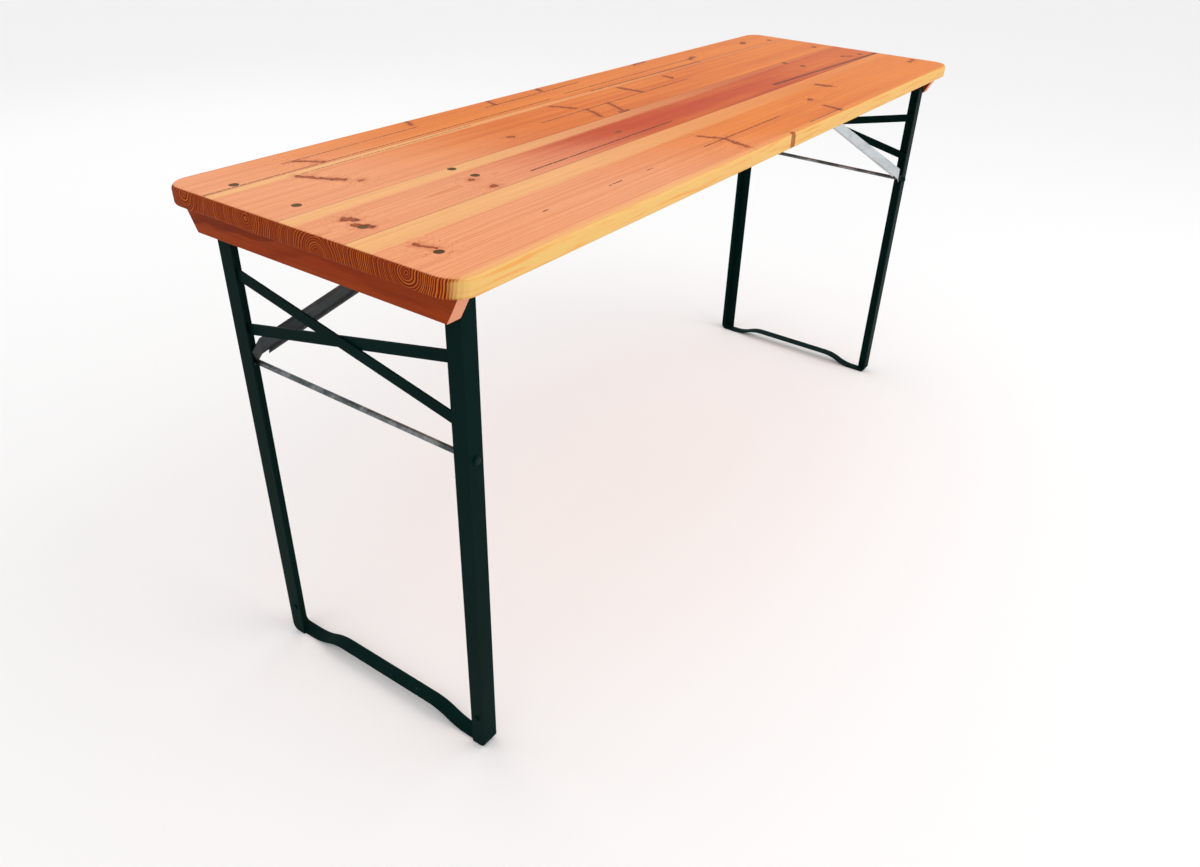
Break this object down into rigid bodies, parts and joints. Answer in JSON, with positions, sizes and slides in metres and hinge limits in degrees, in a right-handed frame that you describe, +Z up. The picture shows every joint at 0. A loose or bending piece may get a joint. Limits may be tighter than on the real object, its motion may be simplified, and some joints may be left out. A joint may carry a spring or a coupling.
{
  "type": "folding picnic table",
  "caption": "Long narrow folding table: glued softwood top with end battens on two bent angle-steel leg frames that fold flat under it.",
  "frame": {"origin": "on the ground under the middle of the top", "axes": "+X along the table towards the far end, +Y across it, +Z up"},
  "size_m": [1.6, 0.5, 0.77],
  "materials": {
    "lacquered_softwood": "clear orange-toned lacquer over knotty softwood, satin",
    "batten_softwood": "red-brown lacquered softwood, satin",
    "green_paint": "dark green powder coat, semi-gloss",
    "painted_bolt_heads": "dark green coated steel",
    "zinc_sheet": "bright zinc plate",
    "zinc_rod": "bright zinc plate",
    "zinc_nuts": "zinc plate",
    "zinc_screws": "yellow zinc plate"
  },
  "bodies": {
    "table_top": {"top_board_1": "lacquered_softwood", "top_board_2": "lacquered_softwood", "top_board_3": "lacquered_softwood", "top_board_4": "lacquered_softwood", "end_batten_near": "batten_softwood", "end_batten_far": "batten_softwood", "batten_screws_near": "zinc_screws", "batten_screws_far": "zinc_screws", "hinge_rail_near": "green_paint", "hinge_rail_far": "green_paint", "rail_bolts_near": "painted_bolt_heads", "rail_bolts_far": "painted_bolt_heads", "rail_nuts_near": "zinc_nuts", "rail_nuts_far": "zinc_nuts", "hinge_bolts_near": "green_paint", "hinge_bolts_far": "green_paint", "hinge_nuts_near": "zinc_nuts", "hinge_nuts_far": "zinc_nuts", "strut_bracket_near": "zinc_sheet", "strut_bracket_far": "zinc_sheet", "bracket_bolts_near": "painted_bolt_heads", "bracket_bolts_far": "painted_bolt_heads", "bracket_nuts_near": "zinc_nuts", "bracket_nuts_far": "zinc_nuts", "strut_pin_near": "zinc_nuts", "strut_pin_far": "zinc_nuts"},
    "near_legs": {"leg_frame_near": "green_paint", "cross_brace_front_near": "green_paint", "cross_brace_rear_near": "green_paint", "cross_rod_near": "zinc_rod", "foot_rivets_near": "green_paint"},
    "near_strut": {"strut_near": "zinc_sheet"},
    "far_legs": {"leg_frame_far": "green_paint", "cross_brace_front_far": "green_paint", "cross_brace_rear_far": "green_paint", "cross_rod_far": "zinc_rod", "foot_rivets_far": "green_paint"},
    "far_strut": {"strut_far": "zinc_sheet"}
  },
  "joints": [
    {"name": "near_leg_fold", "type": "hinge", "parent": "table_top", "child": "near_legs", "pos_m": [-0.746, 0, 0.727], "axis": [0, -1, 0], "range_deg": [0, 90]},
    {"name": "near_strut_swing", "type": "hinge", "parent": "table_top", "child": "near_strut", "pos_m": [-0.516, 0, 0.731], "axis": [0, -1, 0], "range_deg": [0, 136.41]},
    {"name": "far_leg_fold", "type": "hinge", "parent": "table_top", "child": "far_legs", "pos_m": [0.746, 0, 0.727], "axis": [0, 1, 0], "range_deg": [0, 90]},
    {"name": "far_strut_swing", "type": "hinge", "parent": "table_top", "child": "far_strut", "pos_m": [0.516, 0, 0.731], "axis": [0, 1, 0], "range_deg": [0, 136.41]}
  ],
  "couplings": [
    {"joint": "near_strut_swing", "follows": "near_leg_fold", "ratio": 1.5156},
    {"joint": "far_strut_swing", "follows": "far_leg_fold", "ratio": 1.5156}
  ]
}
